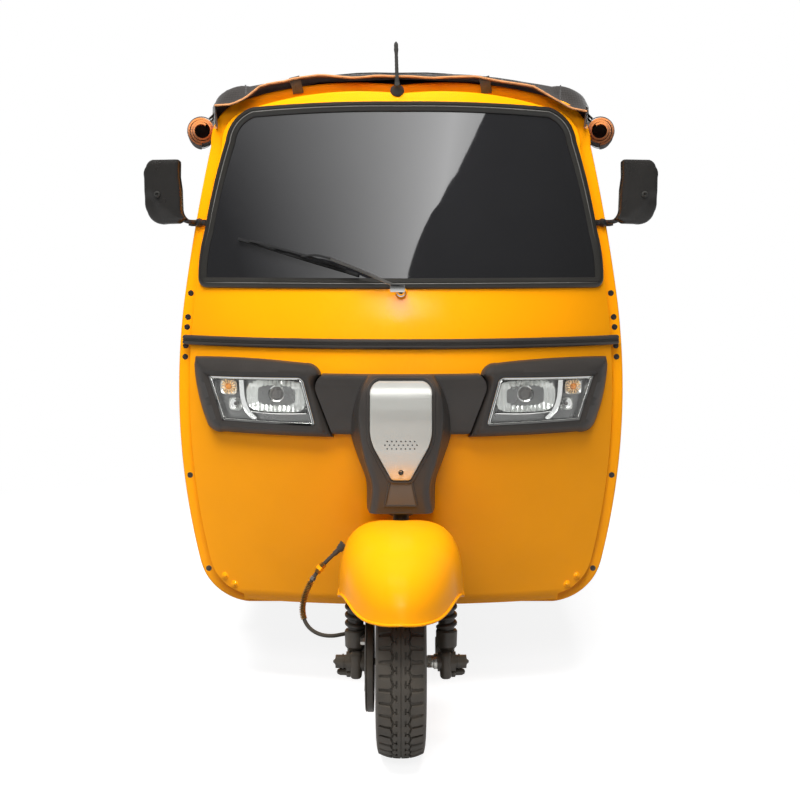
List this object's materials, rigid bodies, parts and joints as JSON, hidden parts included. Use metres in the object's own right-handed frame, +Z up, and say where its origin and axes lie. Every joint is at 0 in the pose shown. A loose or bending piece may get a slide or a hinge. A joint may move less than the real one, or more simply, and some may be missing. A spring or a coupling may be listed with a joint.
{
  "type": "auto rickshaw",
  "caption": "Three-wheeled passenger auto rickshaw with a raked steering fork, open sided cab, canvas hood, bench seat and rear engine hatch.",
  "frame": {"origin": "on the ground, midway between the front and rear ends, on the centre plane", "axes": "+Z up, the front faces -Y, +X is the left of the driver"},
  "size_m": [1.3592, 2.6399, 1.719],
  "materials": {
    "yellow_paint": "gloss",
    "dark_plastic": "satin grain",
    "black_rubber": "matt",
    "windscreen_glass": "tinted, polished",
    "clear_lens": "clear",
    "lamp_housing": "satin, bright inside",
    "silver_panel": "satin silver",
    "black_frame": "semi-gloss",
    "mirror_face": "polished",
    "canvas": "woven, coated",
    "orange_cloth": "coated, rolled",
    "tyre_rubber": "matt",
    "rim_paint": "silver",
    "seat_vinyl": "vinyl",
    "floor_paint": "gloss",
    "steel": "bright",
    "cast": "rough",
    "alloy": "cast",
    "tail_lens": "clear red",
    "plate_white": "blank"
  },
  "bodies": {
    "chassis": {"floor_pan": "floor_paint", "chassis_frame": "black_frame", "steering_head": "black_frame", "front_hoop": "yellow_paint", "front_cowl": "yellow_paint", "windscreen_seal": "black_rubber", "windscreen": "windscreen_glass", "rub_strip": "black_rubber", "headlamp_housings": "lamp_housing", "headlamp_lenses": "clear_lens", "nose_garnish": "dark_plastic", "nose_panel": "silver_panel", "wiper": "black_frame", "mirrors": "dark_plastic", "mirror_glasses": "mirror_face", "aerial": "black_rubber", "dashboard": "dark_plastic", "brake_pedal": "black_frame", "driver_seat_box": "floor_paint", "driver_seat": "seat_vinyl", "seat_bulkhead": "floor_paint", "passenger_seat": "seat_vinyl", "rear_body": "yellow_paint", "rear_bumper": "black_frame", "tail_lamps": "tail_lens", "canopy": "canvas", "roof_frame": "black_frame", "partition_rail": "black_frame", "side_curtains": "orange_cloth", "curtain_straps": "black_rubber", "rear_arms": "black_frame", "rear_dampers": "black_frame", "engine_block": "cast", "silencer": "cast"},
    "steering": {"steering_column": "black_frame", "handlebar": "black_frame", "fork": "black_frame", "front_axle": "steel", "front_dampers": "black_frame", "brake_plate": "alloy", "front_mudguard": "yellow_paint", "brake_hose": "steel"},
    "front_wheel": {"front_tyre": "tyre_rubber", "front_rim": "rim_paint"},
    "rear_wheel_left": {"rear_left_tyre": "tyre_rubber", "rear_left_rim": "rim_paint"},
    "rear_wheel_right": {"rear_right_tyre": "tyre_rubber", "rear_right_rim": "rim_paint"},
    "engine_hatch": {"engine_hatch": "yellow_paint", "number_plate": "plate_white"}
  },
  "joints": [
    {"name": "steer", "type": "hinge", "parent": "chassis", "child": "steering", "pos_m": [0, -0.82003, 0.66], "axis": [0, 0.4384, 0.8988], "range_deg": [-40, 40]},
    {"name": "front_wheel_spin", "type": "hinge", "parent": "steering", "child": "front_wheel", "pos_m": [0, -1.07, 0.209], "axis": [1, 0, 0], "continuous": true},
    {"name": "rear_left_wheel_spin", "type": "hinge", "parent": "chassis", "child": "rear_wheel_left", "pos_m": [0.575, 0.915, 0.209], "axis": [1, 0, 0], "continuous": true},
    {"name": "rear_right_wheel_spin", "type": "hinge", "parent": "chassis", "child": "rear_wheel_right", "pos_m": [-0.575, 0.915, 0.209], "axis": [1, 0, 0], "continuous": true},
    {"name": "engine_hatch_hinge", "type": "hinge", "parent": "chassis", "child": "engine_hatch", "pos_m": [0, 1.2805, 0.8], "axis": [1, 0, 0], "range_deg": [0, 80]}
  ]
}
